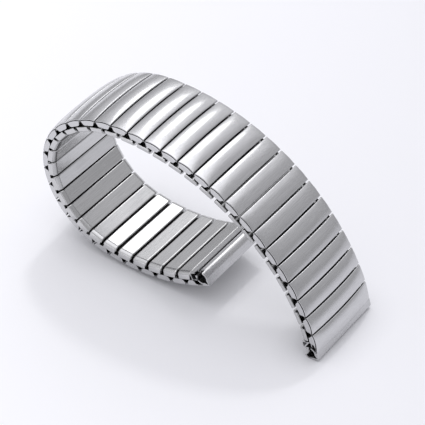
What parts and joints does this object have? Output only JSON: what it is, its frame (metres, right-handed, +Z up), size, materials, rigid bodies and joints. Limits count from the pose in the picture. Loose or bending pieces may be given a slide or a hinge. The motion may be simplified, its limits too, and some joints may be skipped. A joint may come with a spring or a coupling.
{
  "type": "expansion watch band",
  "caption": "Stretch watch band: domed sheet-steel covers over sprung inner links, joined by wire staples, with a spring-bar channel at each end.",
  "frame": {"origin": "middle of the standing band's bounding box in plan, on the plane that it stands on", "axes": "+X along the open curl towards terminal B, +Y across the band's width, +Z up"},
  "size_m": [0.0694, 0.02, 0.0368],
  "materials": {
    "steel": "satin"
  },
  "bodies": {
    "terminal_a": {"terminal_a_cover": "steel", "terminal_a_channel": "steel", "inner_link_34": "steel"},
    "terminal_b": {"terminal_b_cover": "steel", "terminal_b_channel": "steel", "inner_link_01": "steel"},
    "outer_link_01": {"outer_link_01": "steel"},
    "outer_link_02": {"outer_link_02": "steel"},
    "outer_link_03": {"outer_link_03": "steel"},
    "outer_link_04": {"outer_link_04": "steel"},
    "outer_link_05": {"outer_link_05": "steel"},
    "outer_link_06": {"outer_link_06": "steel"},
    "outer_link_07": {"outer_link_07": "steel"},
    "outer_link_08": {"outer_link_08": "steel"},
    "outer_link_09": {"outer_link_09": "steel"},
    "outer_link_10": {"outer_link_10": "steel"},
    "outer_link_11": {"outer_link_11": "steel"},
    "outer_link_12": {"outer_link_12": "steel"},
    "outer_link_13": {"outer_link_13": "steel"},
    "outer_link_14": {"outer_link_14": "steel"},
    "outer_link_15": {"outer_link_15": "steel"},
    "outer_link_16": {"outer_link_16": "steel"},
    "outer_link_17": {"outer_link_17": "steel"},
    "outer_link_18": {"outer_link_18": "steel"},
    "outer_link_19": {"outer_link_19": "steel"},
    "outer_link_20": {"outer_link_20": "steel"},
    "outer_link_21": {"outer_link_21": "steel"},
    "outer_link_22": {"outer_link_22": "steel"},
    "outer_link_23": {"outer_link_23": "steel"},
    "outer_link_24": {"outer_link_24": "steel"},
    "outer_link_25": {"outer_link_25": "steel"},
    "outer_link_26": {"outer_link_26": "steel"},
    "outer_link_27": {"outer_link_27": "steel"},
    "outer_link_28": {"outer_link_28": "steel"},
    "outer_link_29": {"outer_link_29": "steel"},
    "outer_link_30": {"outer_link_30": "steel"},
    "outer_link_31": {"outer_link_31": "steel"},
    "outer_link_32": {"outer_link_32": "steel"},
    "outer_link_33": {"outer_link_33": "steel"},
    "inner_link_07": {"inner_link_07": "steel"},
    "inner_link_08": {"inner_link_08": "steel"},
    "inner_link_09": {"inner_link_09": "steel"},
    "inner_link_10": {"inner_link_10": "steel"},
    "inner_link_11": {"inner_link_11": "steel"},
    "inner_link_12": {"inner_link_12": "steel"},
    "inner_link_13": {"inner_link_13": "steel"},
    "inner_link_14": {"inner_link_14": "steel"},
    "inner_link_15": {"inner_link_15": "steel"},
    "inner_link_16": {"inner_link_16": "steel"},
    "inner_link_17": {"inner_link_17": "steel"},
    "inner_link_18": {"inner_link_18": "steel"},
    "inner_link_19": {"inner_link_19": "steel"},
    "inner_link_20": {"inner_link_20": "steel"},
    "inner_link_21": {"inner_link_21": "steel"},
    "inner_link_22": {"inner_link_22": "steel"},
    "inner_link_23": {"inner_link_23": "steel"},
    "inner_link_24": {"inner_link_24": "steel"},
    "inner_link_25": {"inner_link_25": "steel"},
    "inner_link_26": {"inner_link_26": "steel"},
    "inner_link_27": {"inner_link_27": "steel"}
  },
  "joints": [
    {"name": "stretch_27", "type": "slide", "parent": "outer_link_27", "child": "inner_link_27", "axis": [-0.91, 0, 0.4147], "range_m": [0, 0.0022], "stiffness_N_per_m": 800, "springref_m": -0.0002},
    {"name": "flex_27", "type": "hinge", "parent": "inner_link_27", "child": "outer_link_26", "pos_m": [-0.02487, 0, 0.00389], "axis": [0, 1, 0], "range_deg": [-12.5, 3.5]},
    {"name": "stretch_07", "type": "slide", "parent": "outer_link_07", "child": "inner_link_07", "axis": [0.8141, 0, -0.5807], "range_m": [0, 0.0022], "stiffness_N_per_m": 800, "springref_m": -0.0002},
    {"name": "flex_07", "type": "hinge", "parent": "inner_link_07", "child": "outer_link_06", "pos_m": [0.01802, 0, 0.02554], "axis": [0, 1, 0], "range_deg": [-4.75, 11.25]},
    {"name": "stretch_22", "type": "slide", "parent": "outer_link_22", "child": "inner_link_22", "axis": [0, 0, 1], "range_m": [0, 0.0022], "stiffness_N_per_m": 800, "springref_m": -0.0002},
    {"name": "flex_22", "type": "hinge", "parent": "inner_link_22", "child": "outer_link_21", "pos_m": [-0.03378, 0, 0.02106], "axis": [0, -1, 0], "range_deg": [-0.5, 15.5]},
    {"name": "stretch_14", "type": "slide", "parent": "outer_link_14", "child": "inner_link_14", "axis": [0.9992, 0, -0.0393], "range_m": [0, 0.0022], "stiffness_N_per_m": 800, "springref_m": -0.0002},
    {"name": "flex_14", "type": "hinge", "parent": "inner_link_14", "child": "outer_link_13", "pos_m": [-0.00823, 0, 0.03575], "axis": [0, -1, 0], "range_deg": [-11.25, 4.75]},
    {"name": "stretch_18", "type": "slide", "parent": "outer_link_18", "child": "inner_link_18", "axis": [0.8434, 0, 0.5373], "range_m": [0, 0.0022], "stiffness_N_per_m": 800, "springref_m": -0.0002},
    {"name": "flex_18", "type": "hinge", "parent": "inner_link_18", "child": "outer_link_17", "pos_m": [-0.02419, 0, 0.03349], "axis": [0, -1, 0], "range_deg": [-5, 11]},
    {"name": "stretch_10", "type": "slide", "parent": "outer_link_10", "child": "inner_link_10", "axis": [0.932, 0, -0.3624], "range_m": [0, 0.0022], "stiffness_N_per_m": 800, "springref_m": -0.0002},
    {"name": "flex_10", "type": "hinge", "parent": "inner_link_10", "child": "outer_link_09", "pos_m": [0.00753, 0, 0.03178], "axis": [0, 1, 0], "range_deg": [-4.75, 11.25]},
    {"name": "stretch_25", "type": "slide", "parent": "outer_link_25", "child": "inner_link_25", "axis": [-0.6494, 0, 0.7604], "range_m": [0, 0.0022], "stiffness_N_per_m": 800, "springref_m": -0.0002},
    {"name": "flex_25", "type": "hinge", "parent": "inner_link_25", "child": "outer_link_24", "pos_m": [-0.03078, 0, 0.00945], "axis": [0, 1, 0], "range_deg": [-12.5, 3.5]},
    {"name": "stretch_12", "type": "slide", "parent": "outer_link_12", "child": "inner_link_12", "axis": [0.979, 0, -0.2036], "range_m": [0, 0.0022], "stiffness_N_per_m": 800, "springref_m": -0.0002},
    {"name": "flex_12", "type": "hinge", "parent": "inner_link_12", "child": "outer_link_11", "pos_m": [-0.00018, 0, 0.03442], "axis": [0, -1, 0], "range_deg": [-11.25, 4.75]},
    {"name": "stretch_20", "type": "slide", "parent": "outer_link_20", "child": "inner_link_20", "axis": [0.515, 0, 0.8572], "range_m": [0, 0.0022], "stiffness_N_per_m": 800, "springref_m": -0.0002},
    {"name": "flex_20", "type": "hinge", "parent": "inner_link_20", "child": "outer_link_19", "pos_m": [-0.03059, 0, 0.02849], "axis": [0, -1, 0], "range_deg": [-0.5, 15.5]},
    {"name": "stretch_16", "type": "slide", "parent": "outer_link_16", "child": "inner_link_16", "axis": [0.9833, 0, 0.1822], "range_m": [0, 0.0022], "stiffness_N_per_m": 800, "springref_m": -0.0002},
    {"name": "flex_16", "type": "hinge", "parent": "inner_link_16", "child": "outer_link_15", "pos_m": [-0.01638, 0, 0.03573], "axis": [0, -1, 0], "range_deg": [-8, 8]},
    {"name": "stretch_23", "type": "slide", "parent": "outer_link_23", "child": "inner_link_23", "axis": [-0.2672, 0, 0.9636], "range_m": [0, 0.0022], "stiffness_N_per_m": 800, "springref_m": -0.0002},
    {"name": "flex_23", "type": "hinge", "parent": "inner_link_23", "child": "outer_link_22", "pos_m": [-0.03378, 0, 0.01698], "axis": [0, -1, 0], "range_deg": [-0.5, 15.5]},
    {"name": "stretch_08", "type": "slide", "parent": "outer_link_08", "child": "inner_link_08", "axis": [0.8594, 0, -0.5113], "range_m": [0, 0.0022], "stiffness_N_per_m": 800, "springref_m": -0.0002},
    {"name": "flex_08", "type": "hinge", "parent": "inner_link_08", "child": "outer_link_07", "pos_m": [0.0147, 0, 0.02791], "axis": [0, 1, 0], "range_deg": [-4.75, 11.25]},
    {"name": "stretch_26", "type": "slide", "parent": "outer_link_26", "child": "inner_link_26", "axis": [-0.7986, 0, 0.6018], "range_m": [0, 0.0022], "stiffness_N_per_m": 800, "springref_m": -0.0002},
    {"name": "flex_26", "type": "hinge", "parent": "inner_link_26", "child": "outer_link_25", "pos_m": [-0.02813, 0, 0.00634], "axis": [0, 1, 0], "range_deg": [-12.5, 3.5]},
    {"name": "stretch_24", "type": "slide", "parent": "outer_link_24", "child": "inner_link_24", "axis": [-0.4695, 0, 0.8829], "range_m": [0, 0.0022], "stiffness_N_per_m": 800, "springref_m": -0.0002},
    {"name": "flex_24", "type": "hinge", "parent": "inner_link_24", "child": "outer_link_23", "pos_m": [-0.03269, 0, 0.01305], "axis": [0, 1, 0], "range_deg": [-12.5, 3.5]},
    {"name": "flex_01", "type": "hinge", "parent": "outer_link_01", "child": "terminal_b", "pos_m": [0.0329, 0, 0.00641], "axis": [0, 1, 0], "range_deg": [-9, 2]},
    {"name": "flex_34", "type": "hinge", "parent": "outer_link_33", "child": "terminal_a", "pos_m": [0.00287, 0, 0.00367], "axis": [0, -1, 0], "range_deg": [-6.5, 9.5]},
    {"name": "flex_31", "type": "hinge", "parent": "outer_link_30", "child": "outer_link_31", "pos_m": [-0.00902, 0, 0.00099], "axis": [0, -1, 0], "range_deg": [-6, 10]},
    {"name": "flex_28", "type": "hinge", "parent": "outer_link_28", "child": "outer_link_27", "pos_m": [-0.02116, 0, 0.0022], "axis": [0, 1, 0], "range_deg": [-12.5, 3.5]},
    {"name": "flex_33", "type": "hinge", "parent": "outer_link_32", "child": "outer_link_33", "pos_m": [-0.00099, 0, 0.00234], "axis": [0, -1, 0], "range_deg": [-6.5, 9.5]},
    {"name": "flex_32", "type": "hinge", "parent": "outer_link_31", "child": "outer_link_32", "pos_m": [-0.00497, 0, 0.00145], "axis": [0, -1, 0], "range_deg": [-6, 10]},
    {"name": "flex_30", "type": "hinge", "parent": "outer_link_30", "child": "outer_link_29", "pos_m": [-0.0131, 0, 0.00096], "axis": [0, 1, 0], "range_deg": [-6, 10]},
    {"name": "flex_29", "type": "hinge", "parent": "outer_link_29", "child": "outer_link_28", "pos_m": [-0.01716, 0, 0.00135], "axis": [0, 1, 0], "range_deg": [-6.5, 9.5]},
    {"name": "stretch_21", "type": "slide", "parent": "outer_link_21", "child": "inner_link_21", "axis": [0.2672, 0, 0.9636], "range_m": [0, 0.0022], "stiffness_N_per_m": 800, "springref_m": -0.0002},
    {"name": "flex_21", "type": "hinge", "parent": "inner_link_21", "child": "outer_link_20", "pos_m": [-0.03269, 0, 0.02499], "axis": [0, -1, 0], "range_deg": [-0.5, 15.5]},
    {"name": "stretch_19", "type": "slide", "parent": "outer_link_19", "child": "inner_link_19", "axis": [0.7254, 0, 0.6884], "range_m": [0, 0.0022], "stiffness_N_per_m": 800, "springref_m": -0.0002},
    {"name": "flex_19", "type": "hinge", "parent": "inner_link_19", "child": "outer_link_18", "pos_m": [-0.02763, 0, 0.0313], "axis": [0, -1, 0], "range_deg": [-5, 11]},
    {"name": "stretch_17", "type": "slide", "parent": "outer_link_17", "child": "inner_link_17", "axis": [0.9304, 0, 0.3665], "range_m": [0, 0.0022], "stiffness_N_per_m": 800, "springref_m": -0.0002},
    {"name": "flex_17", "type": "hinge", "parent": "inner_link_17", "child": "outer_link_16", "pos_m": [-0.02039, 0, 0.03498], "axis": [0, -1, 0], "range_deg": [-5, 11]},
    {"name": "stretch_15", "type": "slide", "parent": "outer_link_15", "child": "inner_link_15", "axis": [0.999, 0, 0.0436], "range_m": [0, 0.0022], "stiffness_N_per_m": 800, "springref_m": -0.0002},
    {"name": "flex_15", "type": "hinge", "parent": "inner_link_15", "child": "outer_link_14", "pos_m": [-0.01231, 0, 0.03591], "axis": [0, -1, 0], "range_deg": [-11.25, 4.75]},
    {"name": "stretch_13", "type": "slide", "parent": "outer_link_13", "child": "inner_link_13", "axis": [0.9925, 0, -0.1219], "range_m": [0, 0.0022], "stiffness_N_per_m": 800, "springref_m": -0.0002},
    {"name": "flex_13", "type": "hinge", "parent": "inner_link_13", "child": "outer_link_12", "pos_m": [-0.00418, 0, 0.03525], "axis": [0, -1, 0], "range_deg": [-11.25, 4.75]},
    {"name": "stretch_11", "type": "slide", "parent": "outer_link_11", "child": "inner_link_11", "axis": [0.9588, 0, -0.284], "range_m": [0, 0.0022], "stiffness_N_per_m": 800, "springref_m": -0.0002},
    {"name": "flex_11", "type": "hinge", "parent": "inner_link_11", "child": "outer_link_10", "pos_m": [0.00373, 0, 0.03326], "axis": [0, 1, 0], "range_deg": [-4.75, 11.25]},
    {"name": "stretch_09", "type": "slide", "parent": "outer_link_09", "child": "inner_link_09", "axis": [0.8988, 0, -0.4384], "range_m": [0, 0.0022], "stiffness_N_per_m": 800, "springref_m": -0.0002},
    {"name": "flex_09", "type": "hinge", "parent": "inner_link_09", "child": "outer_link_08", "pos_m": [0.0112, 0, 0.02999], "axis": [0, 1, 0], "range_deg": [-4.75, 11.25]},
    {"name": "flex_06", "type": "hinge", "parent": "outer_link_06", "child": "outer_link_05", "pos_m": [0.02114, 0, 0.0229], "axis": [0, 1, 0], "range_deg": [-4.75, 11.25]},
    {"name": "flex_05", "type": "hinge", "parent": "outer_link_05", "child": "outer_link_04", "pos_m": [0.02402, 0, 0.02002], "axis": [0, 1, 0], "range_deg": [-4.75, 11.25]},
    {"name": "flex_04", "type": "hinge", "parent": "outer_link_04", "child": "outer_link_03", "pos_m": [0.02666, 0, 0.0169], "axis": [0, 1, 0], "range_deg": [-4.75, 11.25]},
    {"name": "flex_03", "type": "hinge", "parent": "outer_link_03", "child": "outer_link_02", "pos_m": [0.02903, 0, 0.01358], "axis": [0, 1, 0], "range_deg": [-4.75, 11.25]},
    {"name": "flex_02", "type": "hinge", "parent": "outer_link_02", "child": "outer_link_01", "pos_m": [0.03112, 0, 0.01007], "axis": [0, 1, 0], "range_deg": [-4.75, 11.25]}
  ]
}
